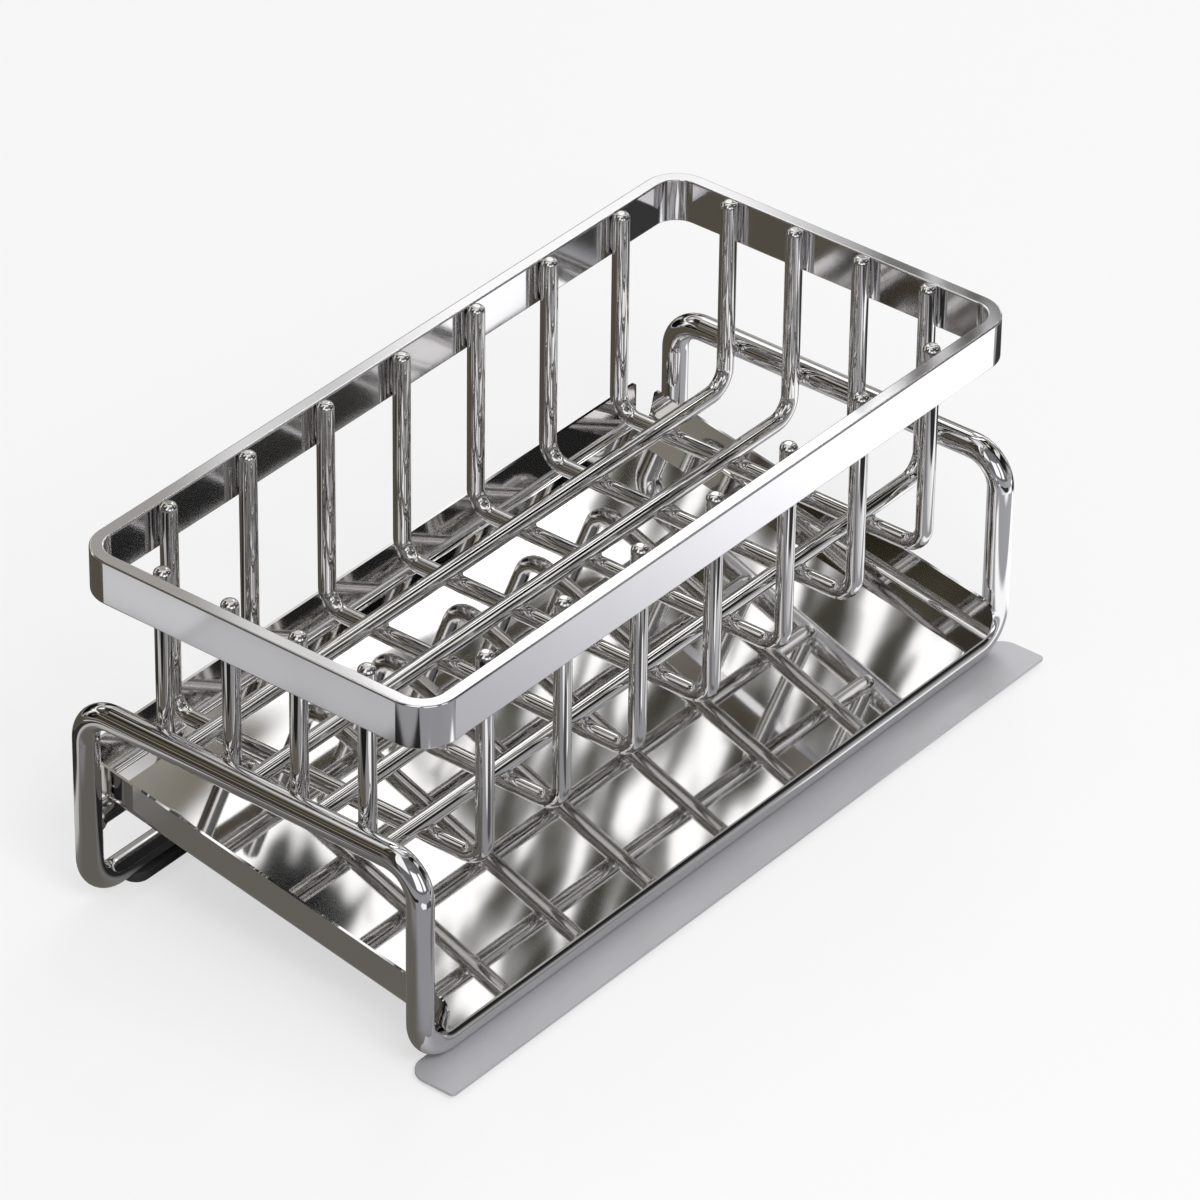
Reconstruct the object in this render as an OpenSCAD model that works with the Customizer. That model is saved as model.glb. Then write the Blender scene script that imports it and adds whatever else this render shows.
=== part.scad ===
// Sink caddy of polished steel: a wire basket in a flat band, held up by a frame of one bent rod,
// over a sloping drip tray that slides out to the rear.
// X runs along the caddy, the front (low) side of the tray faces -Y, Z is up.
// The origin lies on the counter, under the middle of the whole caddy.

/* [Band] */
// Length of the band, outside
band_l = 300; // [280:1:330]
// Width of the band, outside
band_w = 144; // [136:1:152]
// Height of the band
band_h = 16; // [12:0.5:20]
// Thickness of the band
band_t = 4.8; // [4:0.1:6]
// Outside radius of the band's corners
band_r = 13; // [11:0.5:18]
// Rounding along the band's edges
band_ease = 0.6; // [0.3:0.1:1]

/* [Basket wires] */
// Diameter of the wires
wire_d = 6; // [5:0.1:6.5]
// Distance from the long wires' end legs to the first and last cross wires, centre to centre
end_bay = 28.75; // [20:0.05:50]
// Distance from the cross wires' legs to the first and last long wires, centre to centre
side_bay = 22.9; // [18:0.1:32]
// Depth of the basket, from the band's top face to the underside of its floor
basket_depth = 80.6; // [70:0.1:84]
// Bend radius of the wires, to the middle of the wire
wire_bend = 8; // [6:0.5:12]
// Height of the wire ends above the band
end_rise = 1.2; // [0.5:0.1:3]
// Rounding of the wire ends
end_round = 2; // [1:0.1:2.4]

/* [Support frame] */
// Diameter of the frame's rod
rod_d = 9; // [8:0.1:10]
// Distance from the band's long faces in to the middle of the legs
leg_inset = 3.5; // [2:0.1:8]
// Height of the cross tubes above the rails, centre to centre
frame_h = 70.5; // [66:0.5:90]
// Height of the cross tubes above the long wires' floor, centre to centre
tube_rise = 13.05; // [11:0.05:30]
// Bend radius of the rod, to the middle of the rod
rod_bend = 12; // [9:0.5:16]
// Diameter of the bar that the rear of the tray rests on
bar_d = 7.5; // [6:0.1:8]
// Height of the rails' underside above the counter
rail_lift = 2.5; // [2:0.1:4]

/* [Drip tray] */
// Gap between each side wall and the legs
tray_side_gap = 2.7; // [1:0.1:10]
// Reach of the rear wall behind the middle of the rear legs
rear_past = 8; // [6:0.5:14]
// Thickness of the sheet
sheet_t = 1; // [0.8:0.1:1.2]
// Height of the side walls, with the floor
side_h = 13.5; // [10:0.5:15]
// Height of the rear wall, with its fold
rear_h = 16.5; // [12:0.5:18]
// Outside radius of the folds
fold_r = 4; // [3:0.5:5]
// Radius of the side walls' front corners
nose_r = 6; // [2:0.5:6]
// Width of the relief left between the rear fold and each side fold
corner_relief = 1; // [0.5:0.1:4]
// Slope of the tray in degrees
tray_tilt = 10.3; // [6:0.1:11]
// Reach of the tray's front edge ahead of the middle of the rail
tray_reach = 2.8; // [1:0.1:6]

/* [Drip plate] */
// Reach of the plate past the legs at each end
plate_past = 0.8; // [0:0.1:5]
// Reach of the plate ahead of the middle of the rail
plate_reach = 17.5; // [14:0.5:25]
// Reach of the plate behind the middle of the rail
plate_back = 2; // [1:0.5:4]
// Radius of the plate's rear corners
plate_r = 7.5; // [3:0.5:7.5]

/* [Pads] */
// Length of the pads
pad_l = 30; // [20:1:50]
// Width of the pads
pad_w = 10; // [7:0.5:12]
// Distance from the legs in to the middle of each pad
pad_inset = 31.7; // [30:0.1:60]
// Height to which the rear pads clasp the rail, above its underside
pad_grip = 1.2; // [0.5:0.1:2]

/* [Hidden] */
// Gap at a weld or a glued joint, filled by the weld or the glue
weld_gap = 0.05;
// Gap between the tray and what it slides on
slide_gap = 0.3;
// Rounding of cut sheet corners
sheet_corner = 1.5;
// Excess length of a cutting shape, so that it runs right through
overrun = 1;
$fn = 64;

cross_count = 7;
long_count = 4;

steel = [0.80, 0.80, 0.82];
polished_sheet = [0.72, 0.71, 0.69];
rubber = [0.10, 0.10, 0.10];

// The wires stand against the inside of the band, and the frame stands against the long wires.
wire_leg_x = band_l / 2 - band_t - weld_gap - wire_d / 2;
wire_leg_y = band_w / 2 - band_t - weld_gap - wire_d / 2;
leg_x = wire_leg_x + wire_d / 2 + weld_gap + rod_d / 2;
leg_y = band_w / 2 - leg_inset;
cross_pitch = 2 * (wire_leg_x - end_bay) / (cross_count - 1);
long_pitch = 2 * (wire_leg_y - side_bay) / (long_count - 1);

// Heights of the middles of the rods and wires
rail_z = rail_lift + rod_d / 2;
tube_z = rail_z + frame_h;
long_z = tube_z - tube_rise;
cross_z = long_z - wire_d - weld_gap;
band_top = cross_z - wire_d / 2 + basket_depth;
wire_top = band_top + end_rise;

// The tray's underside lies on the front rail and on the rest bar. Its places are measured up the
// slope (s) and square to it (n), from the middle of the front rail.
tray_rest = rod_d / 2 + slide_gap;
bar_z = rail_z + 2 * leg_y * tan(tray_tilt) + (rod_d - bar_d) / 2 / cos(tray_tilt);
floor_half = leg_x - rod_d / 2 - tray_side_gap - fold_r;
rear_half = floor_half - corner_relief;
rear_fold_n = tray_rest + fold_r;
rear_reach = leg_y + rear_past;
rear_fold_s = (leg_y + rear_reach - fold_r + rear_fold_n * sin(tray_tilt)) / cos(tray_tilt);
floor_l = tray_reach + rear_fold_s;

// The basket's middle stands behind the origin, because the plate reaches further than the tray.
front_reach = leg_y + plate_reach;
basket_y = (front_reach - rear_reach) / 2;

plate_l = 2 * (leg_x + rod_d / 2 + plate_past);
plate_z = rail_lift - weld_gap - sheet_t;
pad_x = leg_x - pad_inset;

// Moves a shape from the middle of the basket to its place over the origin.
module placed() {
    translate([0, basket_y, 0]) children();
}

// Draws a shape and its mirror image across the plane x = 0.
module both_ends() {
    for (side = [0, 1]) mirror([side, 0, 0]) children();
}

// Draws a shape and its mirror image across the plane y = 0.
module front_and_rear() {
    for (side = [0, 1]) mirror([0, side, 0]) children();
}

// A round bar of diameter d along X, with its middle at the origin
module bar_x(d, l) {
    rotate([0, 90, 0]) cylinder(d = d, h = l, center = true);
}

// A quarter bend of a round bar about Z, from +X to +Y
module quarter_bend(d, r) {
    rotate_extrude(angle = 90) translate([r, 0]) circle(d = d);
}

// A quarter bend in the XZ plane, from a run along X below to a leg at +X
module foot_bend(d, r) {
    mirror([0, 0, 1]) rotate([90, 0, 0]) quarter_bend(d, r);
}

// An upright wire of height h with a rounded end
module wire_leg(h) {
    flat = wire_d / 2 - end_round;
    rotate_extrude() {
        square([wire_d / 2, h - end_round]);
        square([flat, h]);
        translate([flat, h - end_round]) quarter_disc(end_round);
    }
}

// A basket wire in the XZ plane: a floor run on the X axis and a leg at each end, half away
module basket_wire(half, floor_z) {
    bar_x(wire_d, 2 * (half - wire_bend));
    both_ends() {
        translate([half - wire_bend, 0, wire_bend]) foot_bend(wire_d, wire_bend);
        translate([half, 0, wire_bend]) wire_leg(wire_top - floor_z - wire_bend);
    }
}

// A quarter of a disc, from +X to +Y
module quarter_disc(r) {
    intersection() {
        circle(r = r);
        square(r);
    }
}

// A flat panel on the X axis, l long and h high, with its top corners rounded
module panel(l, h, left_r, right_r) {
    translate([left_r, 0]) square([l - left_r - right_r, h]);
    square([left_r, h - left_r]);
    translate([left_r, h - left_r]) mirror([1, 0]) quarter_disc(left_r);
    translate([l - right_r, 0]) {
        square([right_r, h - right_r]);
        translate([0, h - right_r]) quarter_disc(right_r);
    }
}

// A strip with round ends, centred on the origin
module stadium(l, w) {
    straight = l - w;
    square([straight, w], center = true);
    for (side = [-1, 1]) translate([side * straight / 2, 0]) circle(d = w);
}

// Section of the band, upright, with its inside face on the Y axis
module band_section() {
    translate([band_ease, 0]) square([band_t - 2 * band_ease, band_h]);
    translate([0, band_ease]) square([band_t, band_h - 2 * band_ease]);
    for (x = [band_ease, band_t - band_ease])
        for (y = [band_ease, band_h - band_ease])
            translate([x, y]) circle(r = band_ease);
}

// A sheet fold of the given length along Z, turning by an angle from +X towards +Y
module fold(l, angle) {
    rotate_extrude(angle = angle) translate([fold_r - sheet_t, 0]) square([sheet_t, l]);
}

// The tray's own frame: Y up the slope and Z square to it, from the middle of the front rail
module on_slope() {
    translate([0, -leg_y, rail_z]) rotate([tray_tilt, 0, 0]) children();
}

// One rod bent eight times into a closed loop: two rails, four legs and a cross tube at each end
module support_frame() {
    leg_l = frame_h - 2 * rod_bend;
    color(steel) placed() {
        front_and_rear() {
            translate([0, leg_y, rail_z]) bar_x(rod_d, 2 * (leg_x - rod_bend));
            both_ends() translate([leg_x, leg_y, rail_z + rod_bend]) {
                translate([-rod_bend, 0, 0]) foot_bend(rod_d, rod_bend);
                cylinder(d = rod_d, h = leg_l);
                translate([0, -rod_bend, leg_l]) rotate([90, 0, 90]) quarter_bend(rod_d, rod_bend);
            }
        }
        both_ends() translate([leg_x, 0, tube_z]) rotate([0, 0, 90]) bar_x(rod_d, 2 * (leg_y - rod_bend));
    }
}

// Bar between the rear legs, its ends shaped to fit round them
module tray_rest_bar() {
    color(steel) placed() translate([0, leg_y, bar_z]) difference() {
        bar_x(bar_d, 2 * leg_x);
        both_ends() translate([leg_x, 0, 0])
            cylinder(d = rod_d + 2 * weld_gap, h = bar_d + 2 * overrun, center = true);
    }
}

// Level strip of sheet under the front rail, which carries the drips forward
module front_drip_plate() {
    half_w = (plate_reach + plate_back) / 2;
    color(steel) placed() translate([-plate_l / 2, half_w - front_reach, plate_z])
        linear_extrude(sheet_t) {
            panel(plate_l, half_w, plate_r, plate_r);
            mirror([0, 1]) panel(plate_l, half_w, sheet_corner, sheet_corner);
        }
}

// Flat band on edge, closed round the top of the basket
module top_band() {
    straight_x = band_l / 2 - band_r;
    straight_y = band_w / 2 - band_r;
    color(steel) placed() translate([0, 0, band_top - band_h]) {
        front_and_rear() translate([-straight_x, band_w / 2 - band_t, 0])
            rotate([90, 0, 90]) linear_extrude(2 * straight_x) band_section();
        both_ends() translate([band_l / 2 - band_t, straight_y, 0])
            rotate([90, 0, 0]) linear_extrude(2 * straight_y) band_section();
        both_ends() front_and_rear() translate([straight_x, straight_y, 0])
            rotate_extrude(angle = 90) translate([band_r - band_t, 0]) band_section();
    }
}

// Wire across the basket, number i counted from the left
module cross_wire(i) {
    x = (i - (cross_count + 1) / 2) * cross_pitch;
    color(steel) placed() translate([x, 0, cross_z]) rotate([0, 0, 90]) basket_wire(wire_leg_y, cross_z);
}

// Wire along the basket, laid over the cross wires, number i counted from the front
module long_wire(i) {
    y = (i - (long_count + 1) / 2) * long_pitch;
    color(steel) placed() translate([0, y, long_z]) basket_wire(wire_leg_x, long_z);
}

// Folded tray: a floor, two side walls and an upright rear wall, open at the front and rear corners.
// The rear fold is cut off where the flat floor ends.
module drip_tray() {
    color(polished_sheet) placed() on_slope() {
        translate([-floor_half, -tray_reach, tray_rest]) cube([2 * floor_half, floor_l, sheet_t]);
        both_ends() translate([floor_half, -tray_reach, tray_rest]) {
            translate([0, 0, fold_r]) rotate([-90, 0, 0]) fold(floor_l, 90);
            translate([fold_r - sheet_t, 0, fold_r]) rotate([90, 0, 90])
                linear_extrude(sheet_t) panel(floor_l, side_h - fold_r, nose_r, sheet_corner);
        }
        translate([-rear_half, rear_fold_s, rear_fold_n]) intersection() {
            rotate([-tray_tilt, 0, 0]) {
                rotate([0, 90, 0]) fold(2 * rear_half, 90);
                translate([0, fold_r, 0]) rotate([90, 0, 0]) linear_extrude(sheet_t)
                    panel(2 * rear_half, rear_h - fold_r, sheet_corner, sheet_corner);
            }
            translate([-overrun, 0, -fold_r - overrun])
                cube([2 * (rear_half + overrun), rear_h, rear_h + overrun]);
        }
    }
}

// Pad glued under the drip plate, side -1 on the left and 1 on the right
module pad_front(side) {
    color(rubber) placed() translate([side * pad_x, -leg_y - plate_reach / 2, 0])
        linear_extrude(plate_z) stadium(pad_l, pad_w);
}

// Pad with a groove that clasps the rear rail
module pad_rear(side) {
    color(rubber) placed() translate([side * pad_x, leg_y, 0]) difference() {
        linear_extrude(rail_lift + pad_grip) stadium(pad_l, pad_w);
        translate([0, 0, rail_z]) bar_x(rod_d + 2 * weld_gap, pad_l + 2 * overrun);
    }
}

support_frame();
tray_rest_bar();
front_drip_plate();
top_band();
for (i = [1 : cross_count])
    cross_wire(i);
for (i = [1 : long_count])
    long_wire(i);
drip_tray();
pad_front(-1);  // pad_front_left
pad_front(1);  // pad_front_right
pad_rear(-1);  // pad_rear_left
pad_rear(1);  // pad_rear_right
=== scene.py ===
import math
import random

import bmesh
import bpy
from mathutils import Matrix, Vector


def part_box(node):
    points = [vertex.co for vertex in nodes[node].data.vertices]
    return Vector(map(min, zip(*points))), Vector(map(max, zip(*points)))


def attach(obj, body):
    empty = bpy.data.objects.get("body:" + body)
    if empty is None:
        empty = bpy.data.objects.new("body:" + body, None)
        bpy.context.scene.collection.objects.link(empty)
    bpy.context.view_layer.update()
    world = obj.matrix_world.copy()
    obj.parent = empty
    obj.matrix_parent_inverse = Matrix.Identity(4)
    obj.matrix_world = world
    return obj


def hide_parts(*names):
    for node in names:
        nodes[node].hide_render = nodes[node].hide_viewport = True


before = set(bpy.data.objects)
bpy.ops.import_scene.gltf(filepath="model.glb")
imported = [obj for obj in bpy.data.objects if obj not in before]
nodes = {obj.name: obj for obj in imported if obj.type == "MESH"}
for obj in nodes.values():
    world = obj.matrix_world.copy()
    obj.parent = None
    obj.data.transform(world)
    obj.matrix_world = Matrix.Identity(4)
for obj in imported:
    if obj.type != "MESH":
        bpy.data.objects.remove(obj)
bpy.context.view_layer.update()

# The support frame: one 9 mm steel rod bent at eight corners into a closed loop, with a rail along the
# bottom at the front and the rear, four legs, and a cross tube over each end. It is polished after it
# is bent, so it is a mirror with a faint haze from handling and a slight unevenness.


class Value:
    """A number that a node gives, with which sums, products and quotients can be written."""

    def __init__(self, graph, socket):
        self.graph = graph
        self.socket = socket

    def math(self, operation, first, second):
        return self.graph.node("ShaderNodeMath", {"operation": operation}, {0: first, 1: second})

    def __add__(self, other):
        return self.math("ADD", self, other)

    def __radd__(self, other):
        return self.math("ADD", other, self)

    def __sub__(self, other):
        return self.math("SUBTRACT", self, other)

    def __rsub__(self, other):
        return self.math("SUBTRACT", other, self)

    def __mul__(self, other):
        return self.math("MULTIPLY", self, other)

    def __rmul__(self, other):
        return self.math("MULTIPLY", other, self)

    def __truediv__(self, other):
        return self.math("DIVIDE", self, other)

    def __rtruediv__(self, other):
        return self.math("DIVIDE", other, self)


class Graph:
    """A node tree that is built from nothing."""

    def __init__(self, owner):
        owner.use_nodes = True
        self.tree = owner.node_tree
        self.tree.nodes.clear()

    def node(self, kind, settings=None, sockets=None, out=0):
        """Adds a node: its settings come first, then the values and links of its sockets."""
        made = self.tree.nodes.new(kind)
        for name, value in (settings or {}).items():
            if name == "stops":
                ramp = made.color_ramp.elements
                while len(ramp) < len(value):
                    ramp.new(0.5)
                for element, (position, colour) in zip(ramp, value):
                    element.position = position
                    element.color = colour
            else:
                setattr(made, name, value)
        for name, value in (sockets or {}).items():
            if isinstance(value, Value):
                self.tree.links.new(value.socket, made.inputs[name])
            else:
                made.inputs[name].default_value = value
        return Value(self, made.outputs[out]) if made.outputs else made


def blend(graph, share, first, second):
    """A colour between two: the first where the share is 0 and the second where it is 1."""
    return graph.node("ShaderNodeMix", {"data_type": "RGBA"}, {0: share, 6: first, 7: second}, out=2)


def polished_steel(name, colour, shade, roughness, haze, ripple, grain, metal=1):
    """Mirror steel: haze is patchy roughness, ripple a long soft waviness and grain a fine polish."""
    material = bpy.data.materials.new(name)
    graph = Graph(material)
    place = graph.node("ShaderNodeTexCoord", out="Object")
    patches = graph.node("ShaderNodeTexNoise", {}, {"Vector": place, "Scale": 45, "Detail": 3})
    specks = graph.node("ShaderNodeTexNoise", {}, {"Vector": place, "Scale": 900, "Detail": 2})
    waves = graph.node("ShaderNodeTexNoise", {}, {"Vector": place, "Scale": 60, "Detail": 1})
    rise = waves * ripple + specks * grain
    bump = graph.node("ShaderNodeBump", {}, {"Height": rise, "Strength": 1, "Distance": 0.001})
    shader = graph.node(
        "ShaderNodeBsdfPrincipled",
        {},
        {
            "Base Color": blend(graph, patches, colour, shade),
            "Metallic": metal,
            "Roughness": roughness + patches * haze,
            "Normal": bump,
        },
    )
    graph.node("ShaderNodeOutputMaterial", {}, {"Surface": shader})
    return material


def dress(node, material):
    """Gives a piece of the frame its material."""
    slots = nodes[node].data.materials
    slots.clear()
    slots.append(material)


rod_finish = polished_steel(
    "polished_rod",
    colour=(0.74, 0.735, 0.74, 1),
    shade=(0.70, 0.69, 0.69, 1),
    roughness=0.03,
    haze=0.04,
    ripple=0.003,
    grain=0.0002,
)
dress("support_frame", rod_finish)

# The rest bar: a 7.5 mm bar of the same polished steel, cut to fit between the two rear legs and
# welded to their inner sides. The rear edge of the tray lies on it, which gives the tray its slope.
dress("tray_rest_bar", rod_finish)

# The drip plate: a strip of 1 mm stainless sheet under the front rail that leads drips to the sink.
# It keeps the dull satin of the rolled sheet, so it mirrors only softly.
plate_finish = polished_steel(
    "satin_plate",
    colour=(0.54, 0.54, 0.565, 1),
    shade=(0.50, 0.50, 0.52, 1),
    roughness=0.55,
    haze=0.08,
    ripple=0.01,
    grain=0.001,
    metal=0.4,
)
dress("front_drip_plate", plate_finish)

# The basket: seven wires bent up at the front and the rear, and four long wires laid across them and
# bent up at the ends. They are 6 mm drawn steel with domed ends, polished bright like the frame.
wire_finish = polished_steel(
    "polished_wire",
    colour=(0.70, 0.69, 0.68, 1),
    shade=(0.65, 0.64, 0.63, 1),
    roughness=0.015,
    haze=0.02,
    ripple=0.003,
    grain=0.0002,
)
cross_wires = [f"cross_wire_{index}" for index in range(1, 8)]
long_wires = [f"long_wire_{index}" for index in range(1, 5)]
for wire in cross_wires + long_wires:
    dress(wire, wire_finish)

# The band: a flat steel bar bent on edge into a ring round the tops of the wires, with its joint
# ground flush. It has been belt-ground and then polished, which leaves it slightly duller.
band_finish = polished_steel(
    "polished_band",
    colour=(0.74, 0.735, 0.74, 1),
    shade=(0.70, 0.69, 0.70, 1),
    roughness=0.05,
    haze=0.05,
    ripple=0.01,
    grain=0.0005,
)
dress("top_band", band_finish)

# The crossing welds: where a long wire lies on a cross wire the two are pressed together and welded
# by a current, which squeezes a small collar of steel out of the joint. All are polished over.
wire_radius = 0.003
weld_finish = polished_steel(
    "polished_weld",
    colour=(0.66, 0.645, 0.63, 1),
    shade=(0.48, 0.46, 0.43, 1),
    roughness=0.10,
    haze=0.15,
    ripple=0.25,
    grain=0.02,
)


def pick_edges(piece, wanted):
    """Selects the edges of the piece in edit mode whose two ends pass the test."""
    bpy.ops.mesh.select_mode(type="EDGE")
    bpy.ops.mesh.select_all(action="DESELECT")
    shape = bmesh.from_edit_mesh(piece.data)
    for edge in shape.edges:
        if wanted(edge.verts[0].co, edge.verts[1].co):
            edge.select_set(True)
    bmesh.update_edit_mesh(piece.data)


def is_level(first, second):
    """Tells whether an edge between two points is level."""
    return abs(first.z - second.z) < 1e-6


def settle(piece, name, finish):
    """Puts the place of the piece in its mesh, and gives it its name, finish and body."""
    piece.name = name
    piece.data.name = name
    piece.data.transform(piece.matrix_world)
    piece.matrix_world = Matrix.Identity(4)
    piece.data.materials.clear()
    piece.data.materials.append(finish)
    bpy.ops.object.select_all(action="DESELECT")
    piece.select_set(True)
    bpy.context.view_layer.objects.active = piece
    bpy.ops.object.shade_smooth_by_angle(angle=math.radians(40))
    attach(piece, "rack")


def squeezed_collar(radius, height):
    """One collar of weld metal with round rims, modelled at the origin with its axis along z."""
    bpy.ops.object.select_all(action="DESELECT")
    bpy.ops.mesh.primitive_cylinder_add(vertices=12, radius=radius, depth=height)
    made = bpy.context.object
    bpy.ops.object.mode_set(mode="EDIT")
    pick_edges(made, is_level)
    bpy.ops.mesh.bevel(offset=height * 0.42, segments=2, affect="EDGES")
    bpy.ops.object.mode_set(mode="OBJECT")
    return made


def set_welds(pattern, name, places, turn, stretch, seed):
    """Copies the collar to each place, turned, stretched and a little uneven."""
    chance = random.Random(seed)
    for number, place in enumerate(places, 1):
        weld = pattern.copy()
        weld.data = pattern.data.copy()
        bpy.context.scene.collection.objects.link(weld)
        uneven = [value * chance.uniform(0.93, 1.07) for value in stretch]
        spin = Matrix.Rotation(chance.uniform(0, 0.5), 4, "Z")
        weld.matrix_world = Matrix.Translation(place) @ turn @ Matrix.Diagonal((*uneven, 1)) @ spin
        settle(weld, f"{name}_{number}", weld_finish)


def middle(node):
    """The middle of the box of a piece of the frame."""
    low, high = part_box(node)
    return [(low[axis] + high[axis]) / 2 for axis in range(3)]


cross_places = [middle(wire)[0] for wire in cross_wires]
long_places = [middle(wire)[1] for wire in long_wires]
cross_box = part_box(cross_wires[0])
long_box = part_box(long_wires[0])
joint_height = cross_box[0][2] + 2 * wire_radius
upright = Matrix.Identity(4)
collar = squeezed_collar(radius=0.0025, height=0.0019)
crossings = [(x, y, joint_height) for x in cross_places for y in long_places]
set_welds(collar, "crossing_weld", crossings, upright, (1, 1, 1), seed=11)

# The band welds: each wire end is welded to the inside of the band along the whole height of the
# band, so a thin fillet of steel fills the crease between the round wire and the flat face.
band_middle = middle("top_band")[2]
fillet_stretch = (0.72, 3.0, 0.5)
face_front = cross_box[0][1]
face_rear = cross_box[1][1]
face_left = long_box[0][0]
face_right = long_box[1][0]
along_band = [(x, y, band_middle) for x in cross_places for y in (face_front, face_rear)]
across_band = [(x, y, band_middle) for y in long_places for x in (face_left, face_right)]
faces_y = Matrix.Rotation(math.pi / 2, 4, "X")
faces_x = Matrix.Rotation(math.pi / 2, 4, "Y") @ Matrix.Rotation(math.pi / 2, 4, "Z")
set_welds(collar, "long_side_weld", along_band, faces_y, fillet_stretch, seed=12)
set_welds(collar, "end_side_weld", across_band, faces_x, fillet_stretch, seed=13)

# The tube welds: the basket hangs in the frame by its long wires, whose bent-up ends are welded to
# the inner side of the cross tube at each end of the frame. These are the joints that carry the load.
frame_low, frame_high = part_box("support_frame")
rod_radius = 0.0045
tube_height = frame_high[2] - rod_radius
hangers = [(x, y, tube_height) for y in long_places for x in (face_left, face_right)]
set_welds(collar, "tube_weld", hangers, faces_x, (1.1, 1.1, 1.2), seed=14)

# The plate tacks: four short tack welds behind the front rail hold the drip plate to its underside,
# out of sight from the front and out of the way of the drips.
plate_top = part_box("front_drip_plate")[1][2]
rail_y = frame_low[1] + rod_radius
tack_offset = 0.0016
tack_places = [(x, rail_y + tack_offset, plate_top) for x in (-0.114, -0.038, 0.038, 0.114)]
set_welds(collar, "plate_tack", tack_places, upright, (1.2, 0.9, 0.8), seed=15)
bpy.data.objects.remove(collar)

# The rest bar welds: a fillet runs right round each end of the rest bar where it meets the leg.
# It was laid by hand with a torch, so it is the one bead that stands out and is a little lumpy.
bar_low, bar_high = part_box("tray_rest_bar")
bar_radius = (bar_high[2] - bar_low[2]) / 2
bar_middle = middle("tray_rest_bar")
bead_inset = 0.0004
for side, end in (("left", bar_low[0] + bead_inset), ("right", bar_high[0] - bead_inset)):
    bpy.ops.object.select_all(action="DESELECT")
    bpy.ops.mesh.primitive_torus_add(
        major_segments=32,
        minor_segments=8,
        major_radius=bar_radius,
        minor_radius=0.001,
        location=(end, bar_middle[1], bar_middle[2]),
        rotation=(0, math.pi / 2, 0),
    )
    bead = bpy.context.object
    bpy.ops.object.mode_set(mode="EDIT")
    bpy.ops.mesh.select_all(action="SELECT")
    bpy.ops.transform.vertex_random(offset=0.00012, uniform=1, seed=5)
    bpy.ops.object.mode_set(mode="OBJECT")
    settle(bead, f"rest_bar_weld_{side}", weld_finish)

# The tray: one piece of thin mirror-finish sheet with its two sides and its rear folded up. The sheet
# is flat but not dead flat, which makes what it mirrors swim. It slides out to the rear.
tray_finish = polished_steel(
    "polished_sheet",
    colour=(0.80, 0.79, 0.78, 1),
    shade=(0.73, 0.72, 0.71, 1),
    roughness=0.028,
    haze=0.024,
    ripple=0.008,
    grain=0.0,
)
dress("drip_tray", tray_finish)

# The pads: four feet moulded in dark grey rubber, with rounded rims and a shallow hollow underneath
# that grips the counter. The front pair is glued under the plate, the rear pair clasps the rail.
rubber_finish = bpy.data.materials.new("grey_rubber")
graph = Graph(rubber_finish)
place = graph.node("ShaderNodeTexCoord", out="Object")
grain = graph.node("ShaderNodeTexNoise", {}, {"Vector": place, "Scale": 1500, "Detail": 2})
dust = graph.node("ShaderNodeTexNoise", {}, {"Vector": place, "Scale": 120, "Detail": 3})
bump = graph.node("ShaderNodeBump", {}, {"Height": grain, "Strength": 0.3, "Distance": 0.0002})
shader = graph.node(
    "ShaderNodeBsdfPrincipled",
    {},
    {
        "Base Color": blend(graph, dust, (0.022, 0.022, 0.024, 1), (0.05, 0.05, 0.052, 1)),
        "Roughness": 0.5 + grain * 0.2 + dust * 0.15,
        "Normal": bump,
    },
)
graph.node("ShaderNodeOutputMaterial", {}, {"Surface": shader})


def moulded_pad(low, high):
    """A pad with round ends, rounded rims and a hollow in its underside."""
    size = [high[axis] - low[axis] for axis in range(3)]
    centre = [(low[axis] + high[axis]) / 2 for axis in range(3)]
    bpy.ops.object.select_all(action="DESELECT")
    bpy.ops.mesh.primitive_cube_add(size=1, location=centre, scale=size)
    made = bpy.context.object
    made.data.transform(made.matrix_world)
    made.matrix_world = Matrix.Identity(4)
    bpy.ops.object.mode_set(mode="EDIT")
    pick_edges(made, lambda first, second: abs(first.z - second.z) > size[2] / 2)
    bpy.ops.mesh.bevel(offset=size[1] / 2 * 0.998, segments=12, affect="EDGES")
    bpy.ops.mesh.select_all(action="SELECT")
    bpy.ops.mesh.remove_doubles(threshold=0.00004)
    pick_edges(made, is_level)
    bpy.ops.mesh.bevel(offset=0.0003, segments=2, affect="EDGES")
    bpy.ops.mesh.select_mode(type="FACE")
    bpy.ops.mesh.select_all(action="DESELECT")
    shape = bmesh.from_edit_mesh(made.data)
    for face in shape.faces:
        face.select_set(face.normal.z < -0.99)
    bmesh.update_edit_mesh(made.data)
    bpy.ops.mesh.inset(thickness=0.0014)
    bpy.ops.mesh.extrude_region_move(TRANSFORM_OT_translate={"value": (0, 0, 0.0004)})
    bpy.ops.object.mode_set(mode="OBJECT")
    return made


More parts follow.
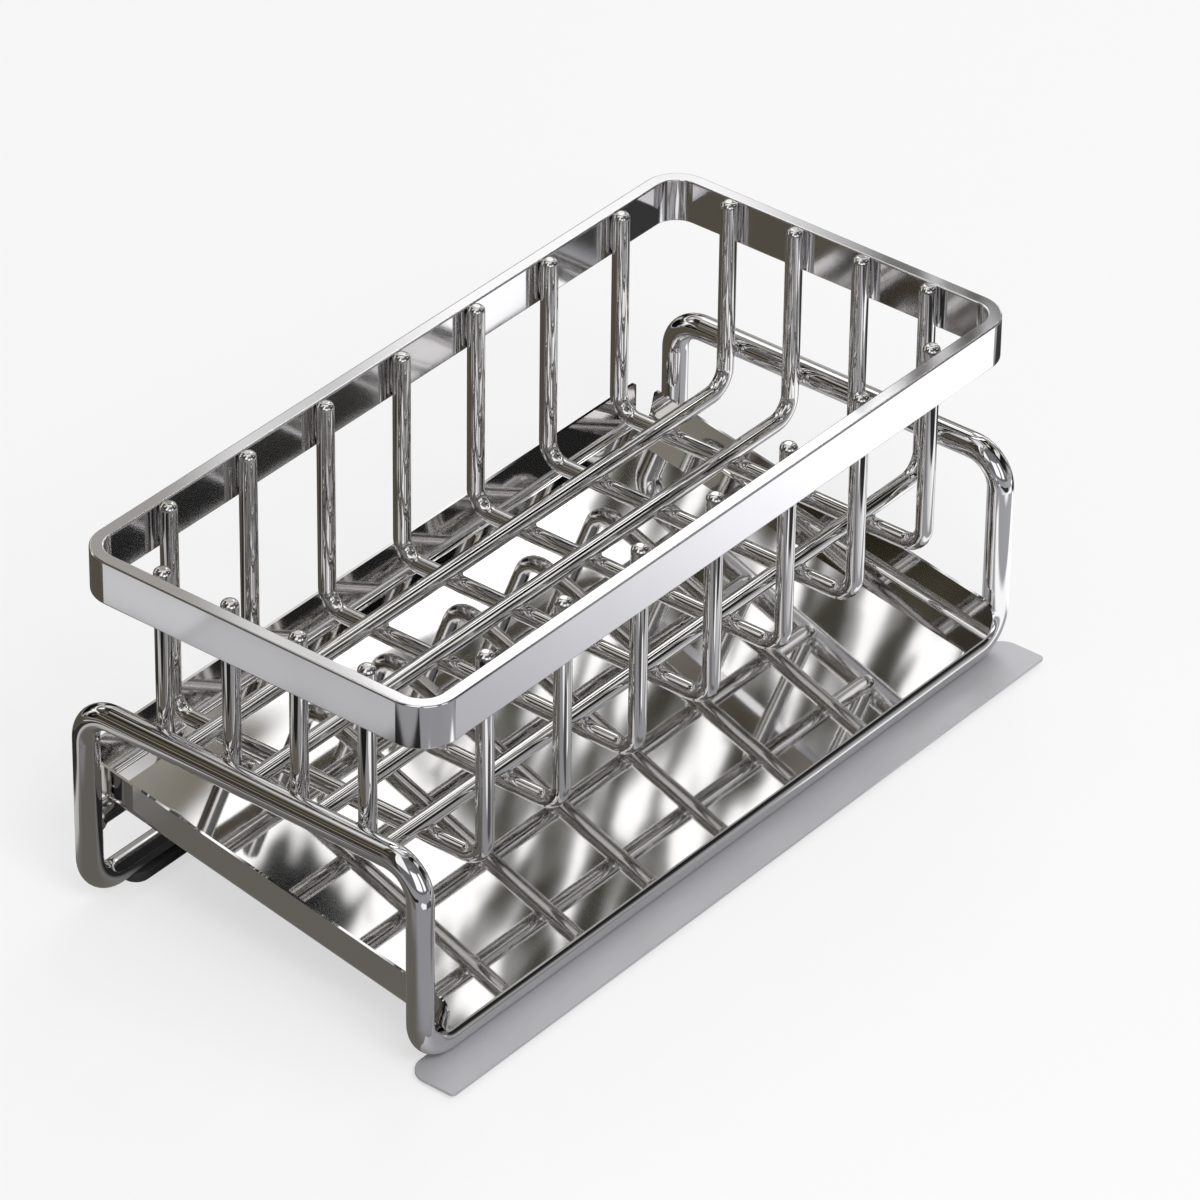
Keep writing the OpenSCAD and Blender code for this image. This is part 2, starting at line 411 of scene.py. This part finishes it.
rail_clearance = 0.00002
for side in ("left", "right"):
    node = f"pad_front_{side}"
    pad = moulded_pad(*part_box(node))
    settle(pad, f"front_foot_{side}", rubber_finish)
    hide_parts(node)
for side in ("left", "right"):
    node = f"pad_rear_{side}"
    low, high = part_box(node)
    pad = moulded_pad(low, high)
    bpy.ops.object.select_all(action="DESELECT")
    bpy.ops.mesh.primitive_cylinder_add(
        vertices=96,
        radius=rod_radius + rail_clearance,
        depth=2 * (high[0] - low[0]),
        location=((low[0] + high[0]) / 2, frame_high[1] - rod_radius, frame_low[2] + rod_radius),
        rotation=(0, math.pi / 2, 0),
    )
    rail = bpy.context.object
    groove = pad.modifiers.new("groove", "BOOLEAN")
    groove.operation = "DIFFERENCE"
    groove.solver = "EXACT"
    groove.object = rail
    bpy.ops.object.select_all(action="DESELECT")
    pad.select_set(True)
    bpy.context.view_layer.objects.active = pad
    bpy.ops.object.modifier_apply(modifier="groove")
    bpy.data.objects.remove(rail)
    settle(pad, f"rear_foot_{side}", rubber_finish)
    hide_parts(node)

# The table and the daylight: a wide pale matt table and an even white sky. The camera and the mirrors
# see both almost white, while the sky lights the rest less, so that the table keeps a soft shadow.


def grey(level):
    return (level, level, level, 1)


def looked_at(graph):
    """1 for what the camera sees, straight, mirrored or through glass, and 0 for plain light."""
    seen = graph.node("ShaderNodeLightPath", out="Is Camera Ray")
    mirrored = graph.node("ShaderNodeLightPath", out="Is Glossy Ray")
    through = graph.node("ShaderNodeLightPath", out="Is Transmission Ray")
    return seen + mirrored + through


bpy.ops.object.select_all(action="DESELECT")
bpy.ops.mesh.primitive_plane_add(size=12, location=(0, 0, -0.0002))
floor = bpy.context.object
floor.name = "floor"
floor_paint = bpy.data.materials.new("pale_floor")
graph = Graph(floor_paint)
matt = graph.node("ShaderNodeBsdfDiffuse", {}, {"Color": grey(0.9)})
white = graph.node("ShaderNodeEmission", {}, {"Color": grey(1), "Strength": 1})
surface = graph.node("ShaderNodeMixShader", {}, {0: looked_at(graph) * 0.6, 1: matt, 2: white})
graph.node("ShaderNodeOutputMaterial", {}, {"Surface": surface})
floor.data.materials.append(floor_paint)

world = bpy.data.worlds.new("studio")
bpy.context.scene.world = world
graph = Graph(world)
daylight = 0.55 + looked_at(graph) * 0.45
sky = graph.node("ShaderNodeBackground", {}, {"Color": grey(1), "Strength": daylight})
graph.node("ShaderNodeOutputWorld", {}, {"Surface": sky})

# The lamps: a large softbox over the front left corner gives the shadow its side, and a smaller and
# weaker one over the right rear corner fills it.
lamp_aim = Vector((0, 0, 0.05))
for name, place, size, power in (
    ("key_softbox", (-0.7, -1.2, 1.5), (0.9, 0.9), 18),
    ("fill_softbox", (1.2, 0.5, 1.3), (0.9, 0.6), 6),
):
    light = bpy.data.lights.new(name, "AREA")
    light.shape = "RECTANGLE"
    light.size, light.size_y = size
    light.energy = power
    lamp = bpy.data.objects.new(name, light)
    bpy.context.scene.collection.objects.link(lamp)
    lamp.location = place
    lamp.rotation_euler = (Vector(place) - lamp_aim).to_track_quat("Z", "Y").to_euler()

# The camera: a long lens 2.5 m away, to the front left and 34 degrees up. It is aimed at a point
# 75 mm over the middle of the basket, then shifted aside and down, and rolled by under a degree.
picture_width = 1200
focal_length = 7823.12
distance = 2519.6186
shift_right = -14.5724
shift_up = 4.9066
azimuth = math.radians(51.6742)
elevation = math.radians(34.1189)
roll = math.radians(0.76874)
aim_height = 75
basket_y = 4.75
camera = bpy.data.cameras.new("camera")
camera.sensor_width = 36
camera.lens = focal_length / picture_width * camera.sensor_width
camera.clip_end = 50
level_ahead = Vector((math.sin(azimuth), math.cos(azimuth), 0))
level_right = Vector((math.cos(azimuth), -math.sin(azimuth), 0))
ahead = level_ahead * math.cos(elevation) - Vector((0, 0, math.sin(elevation)))
level_up = level_right.cross(ahead)
right = level_right * math.cos(roll) + level_up * math.sin(roll)
up = level_up * math.cos(roll) - level_right * math.sin(roll)
stand = Vector((0, basket_y, aim_height)) - right * shift_right - up * shift_up - ahead * distance
eye = stand / 1000
holder = bpy.data.objects.new("camera", camera)
bpy.context.scene.collection.objects.link(holder)
holder.matrix_world = Matrix.Translation(eye) @ Matrix((right, up, -ahead)).transposed().to_4x4()
bpy.context.scene.camera = holder
bpy.context.scene.view_settings.view_transform = "Standard"

# The table reflections: a disc on the table glows with pale and dark patches round the object and
# under it, for polished steel alone, and lights nothing. They are painted reflections, which give the
# steel the streaks that bright steel has in a kitchen, and the dark patches under the object and
# beside its left end are painted shadow.
cards_reach = 0.8
cards_level = 0.77


def only_mirrored(thing, name, colour, level, graph):
    """Makes a thing glow with the colour, for polished steel alone: it casts no light or shadow."""
    glow = graph.node("ShaderNodeEmission", {}, {"Color": colour, "Strength": level})
    graph.node("ShaderNodeOutputMaterial", {}, {"Surface": glow})
    thing.name = name
    thing.visible_camera = False
    thing.visible_diffuse = False
    thing.visible_shadow = False


def new_paint(thing, name):
    """Gives a thing a material without nodes, and gives back its node tree."""
    paint = bpy.data.materials.new(name)
    thing.data.materials.append(paint)
    return Graph(paint)


def axis_of(place, axis):
    return place.graph.node("ShaderNodeSeparateXYZ", {}, {"Vector": place}, out=axis)


def smooth(value, start, end):
    """Rises from 0 to 1 as the value goes from start to end."""
    return value.graph.node(
        "ShaderNodeMapRange",
        {"interpolation_type": "SMOOTHSTEP"},
        {"Value": value, "From Min": start, "From Max": end, "To Min": 0, "To Max": 1},
    )


def patch(x, y, left, right, low, high, soft):
    """A soft-edged rectangle, 1 inside and 0 outside."""
    across = smooth(x, left - soft, left + soft) * smooth(x, right + soft, right - soft)
    along = smooth(y, low - soft, low + soft) * smooth(y, high + soft, high - soft)
    return across * along


def lay_cards(tone, x, y, cards):
    """Lays cards over a tone, each by its left, right, low and high edge, softness and colour."""
    for left, right, low, high, soft, colour in cards:
        tone = blend(tone.graph, patch(x, y, left, right, low, high, soft), tone, colour)
    return tone


bpy.ops.object.select_all(action="DESELECT")
bpy.ops.mesh.primitive_circle_add(
    vertices=64, radius=cards_reach, fill_type="NGON", location=(0, 0, 0.0003)
)
disc = bpy.context.object
disc.data.transform(disc.matrix_world)
disc.matrix_world = Matrix.Identity(4)
graph = new_paint(disc, "painted_table_reflections")
place = graph.node("ShaderNodeTexCoord", out="Object")
x = axis_of(place, "X")
y = axis_of(place, "Y")
tone = blend(graph, smooth(x, -0.20, 0.29), (0.46, 0.46, 0.49, 1), (0.62, 0.62, 0.65, 1))
brightening = blend(graph, smooth(x, -0.04, 0.29), (0.72, 0.72, 0.76, 1), (2.1, 2.1, 2.15, 1))
# Painted reflections: the dark patches under the object and left of it are painted shadow.
painted_table_reflections = (
    (-0.42, 0.5, 0.10, 0.6, 0.02, (0.14, 0.125, 0.095, 1)),
    (-0.50, -0.34, 0.06, 0.30, 0.02, (0.12, 0.10, 0.08, 1)),
    (-0.28, -0.13, 0.105, 0.135, 0.006, (0.75, 0.74, 0.72, 1)),
    (-0.25, -0.12, 0.14, 0.20, 0.006, (0.05, 0.045, 0.04, 1)),
    (-0.36, -0.32, -0.20, 0.06, 0.008, (0.48, 0.48, 0.49, 1)),
    (-0.285, -0.245, -0.08, 0.10, 0.012, (0.20, 0.18, 0.15, 1)),
    (-0.318, -0.281, -0.16, 0.048, 0.004, grey(0.02)),
    (-0.235, -0.13, -0.08, 0.10, 0.02, (0.20, 0.19, 0.17, 1)),
    (-0.13, 0.14, -0.08, 0.085, 0.008, grey(0.03)),
    (-0.11, 0.00, -0.13, -0.10, 0.01, (0.25, 0.24, 0.23, 1)),
    (0.06, 0.18, -0.11, -0.085, 0.006, (1.7, 1.7, 1.72, 1)),
    (-0.24, -0.155, -0.208, -0.16, 0.004, (1.6, 1.6, 1.62, 1)),
    (-0.145, -0.072, -0.212, -0.155, 0.004, grey(0.13)),
    (-0.062, -0.03, -0.215, -0.172, 0.003, (1.8, 1.8, 1.82, 1)),
    (-0.01, 0.19, -0.27, -0.205, 0.006, grey(0.05)),
    (0.175, 0.25, -0.11, -0.035, 0.005, (1.8, 1.8, 1.82, 1)),
    (0.26, 0.36, -0.14, 0.03, 0.008, grey(0.06)),
    (0.20, 0.28, 0.025, 0.07, 0.006, (1.6, 1.6, 1.62, 1)),
    (-0.33, -0.20, -0.33, -0.24, 0.02, (0.48, 0.48, 0.50, 1)),
    (-0.303, -0.278, 0.06, 0.15, 0.004, (0.82, 0.82, 0.84, 1)),
    (-0.303, -0.278, 0.15, 0.27, 0.004, (0.98, 0.98, 1.0, 1)),
    (-0.015, 0.36, -0.202, -0.162, 0.004, brightening),
)
tone = lay_cards(tone, x, y, painted_table_reflections)
only_mirrored(disc, "painted_table_reflections", tone, cards_level, graph)

# The room reflections: a half dome round the table glows with a painted picture of the walls and
# windows of a room, for polished steel alone, and lights nothing, so what the steel shows of it are
# painted reflections and painted highlights. Places on it go by bearing from the +X axis, in hundreds
# of degrees, and by height, as the sine of the elevation.
bpy.ops.mesh.primitive_uv_sphere_add(
    segments=64, ring_count=32, radius=cards_reach, location=(0, 0, 0)
)
dome = bpy.context.object
bpy.ops.object.mode_set(mode="EDIT")
bpy.ops.mesh.select_all(action="SELECT")
bpy.ops.mesh.bisect(plane_co=(0, 0, 0.0005), plane_no=(0, 0, 1), clear_inner=True)
bpy.ops.object.mode_set(mode="OBJECT")
graph = new_paint(dome, "painted_room_reflections")
place = graph.node("ShaderNodeTexCoord", out="Object")
aim = graph.node("ShaderNodeVectorMath", {"operation": "NORMALIZE"}, {0: place})
aim_x = axis_of(aim, "X")
aim_y = axis_of(aim, "Y")
height = axis_of(aim, "Z")
bearing = aim.math("ARCTAN2", aim_y, aim_x) * (1.8 / math.pi)


def ramp(share, *stops):
    """A colour that goes through the stops as the share goes from 0 to 1."""
    return share.graph.node("ShaderNodeValToRGB", {"stops": stops}, {"Fac": share})


clutter = graph.node(
    "ShaderNodeTexNoise", {}, {"Vector": aim, "Scale": 2.4, "Detail": 1.5, "Distortion": 0.6}
)
tone = ramp(
    clutter,
    (0.45, grey(0.005)),
    (0.48, (0.06, 0.05, 0.03, 1)),
    (0.51, (0.28, 0.26, 0.21, 1)),
    (0.55, (0.55, 0.53, 0.49, 1)),
    (0.59, grey(1.0)),
    (0.63, grey(2.2)),
)
front_right = ramp(
    height,
    (0.02, grey(0.46)),
    (0.09, (0.62, 0.62, 0.61, 1)),
    (0.17, grey(0.32)),
    (0.26, (0.10, 0.10, 0.09, 1)),
    (0.32, grey(0.03)),
    (0.54, grey(0.02)),
)
window_wall = ramp(
    bearing,
    (0.22, grey(0.30)),
    (0.28, grey(0.60)),
    (0.33, grey(1.7)),
    (0.43, grey(1.7)),
    (0.475, grey(1.0)),
    (0.515, grey(1.2)),
    (0.545, (0.58, 0.56, 0.53, 1)),
)
painted_room_reflections = (
    (-2.0, -0.68, -0.2, 1.2, 0.05, (0.22, 0.22, 0.23, 1)),
    (-1.42, -1.12, 0.10, 0.62, 0.03, (1.9, 1.9, 1.95, 1)),
    (-1.02, -0.86, 0.10, 0.62, 0.03, (1.9, 1.9, 1.95, 1)),
    (-2.0, -1.50, 0.45, 1.2, 0.03, (1.6, 1.6, 1.62, 1)),
    (1.37, 1.64, -0.2, 0.72, 0.025, (0.085, 0.066, 0.05, 1)),
    (1.60, 1.79, -0.2, 0.93, 0.01, (0.07, 0.06, 0.05, 1)),
    (1.30, 1.66, 0.33, 0.37, 0.01, (0.60, 0.58, 0.50, 1)),
    (1.30, 1.66, 0.50, 0.62, 0.02, (0.17, 0.16, 0.12, 1)),
    (1.60, 1.70, 0.05, 0.30, 0.03, (0.22, 0.20, 0.20, 1)),
    (1.05, 1.25, 0.45, 0.80, 0.03, (0.15, 0.12, 0.085, 1)),
    (0.62, 0.80, 0.55, 0.90, 0.03, (1.1, 1.08, 1.0, 1)),
    (-2.0, 2.0, 0.965, 1.2, 0.015, grey(1.3)),
    (-0.66, -0.38, 0.70, 0.93, 0.02, grey(0.03)),
    (-0.30, 0.30, 0.87, 0.95, 0.02, grey(0.02)),
    (0.70, 1.10, 0.70, 0.82, 0.02, (0.04, 0.035, 0.03, 1)),
    (-0.30, 0.10, 0.45, 0.62, 0.02, (0.30, 0.27, 0.20, 1)),
    (-0.52, -0.30, 0.585, 0.72, 0.015, grey(1.3)),
    (-0.28, -0.12, -0.1, 0.30, 0.02, (0.08, 0.08, 0.07, 1)),
    (-0.25, 1.0, 0.30, 0.36, 0.012, (0.06, 0.05, 0.04, 1)),
    (-0.25, 1.3, 0.42, 0.47, 0.012, grey(1.5)),
    (-0.67, -0.30, -0.2, 0.575, 0.015, front_right),
    (0.19, 0.62, 0.54, 0.765, 0.008, window_wall),
)
tone = lay_cards(tone, bearing, height, painted_room_reflections)

# The tray mottle: a cloudy patch painted on the dome over the right rear of the table, with a bright
# patch and a dark one in it, glows for polished steel alone and is mirrored by the tray as a soft
# mottle, a painted reflection. Its places are those of the room as seen from above, in metres.
plan_x = axis_of(place, "X")
plan_y = axis_of(place, "Y")
along = plan_x * 0.87 + plan_y * 0.5
across = plan_y * 0.87 - plan_x * 0.5
cloud_length = 0.38
spot = graph.node("ShaderNodeCombineXYZ", {}, {"X": along * cloud_length, "Y": across})
cloud = graph.node(
    "ShaderNodeTexNoise", {}, {"Vector": spot, "Scale": 68, "Detail": 1, "Distortion": 0.5}
)
painted_tray_mottle = ramp(
    cloud,
    (0.36, (0.05, 0.045, 0.03, 1)),
    (0.43, (0.16, 0.16, 0.14, 1)),
    (0.50, (0.36, 0.36, 0.35, 1)),
    (0.56, (0.8, 0.8, 0.81, 1)),
    (0.62, grey(1.8)),
)
sway = (cloud - 0.5) * 0.03
painted_mottle_patches = (
    (0.33, 0.45, 0.19, 0.32, 0.004, grey(1.8)),
    (0.33, 0.405, 0.22, 0.265, 0.004, grey(0.02)),
)
painted_tray_mottle = lay_cards(painted_tray_mottle, plan_x + sway, plan_y + sway, painted_mottle_patches)
tone = lay_cards(tone, plan_x, plan_y, [(0.34, 0.63, 0.10, 0.30, 0.006, painted_tray_mottle)])
only_mirrored(dome, "painted_room_reflections", tone, cards_level, graph)

# The bright panels: one small window and two long strips hang inside the dome to the right and
# behind. They glow for polished steel alone and light nothing, so the sharp highlights that the
# bends of the frame and the band show of them are painted highlights.
for name, centre, half_length, half_width, level in (
    ("window_panel", (0.430, 0.309, 0.537), (0.085, -0.042, -0.046), (-0.018, 0.030, -0.026), 2.2),
    ("right_strip", (0.485, 0.005, 0.575), (0.14, -0.08, -0.115), (0.016, 0.026, 0.0), 2.6),
    ("left_strip", (0.12, 0.20, 0.70), (0.22, -0.115, -0.01), (0.016, 0.026, 0.0), 2.6),
):
    bpy.ops.object.select_all(action="DESELECT")
    bpy.ops.mesh.primitive_plane_add(size=2)
    sheet = bpy.context.object
    half_length = Vector(half_length)
    half_width = Vector(half_width)
    facing = half_length.cross(half_width).normalized()
    turn = Matrix((half_length, half_width, facing)).transposed().to_4x4()
    sheet.data.transform(Matrix.Translation(centre) @ turn)
    graph = new_paint(sheet, name)
    only_mirrored(sheet, name, grey(level), 1, graph)
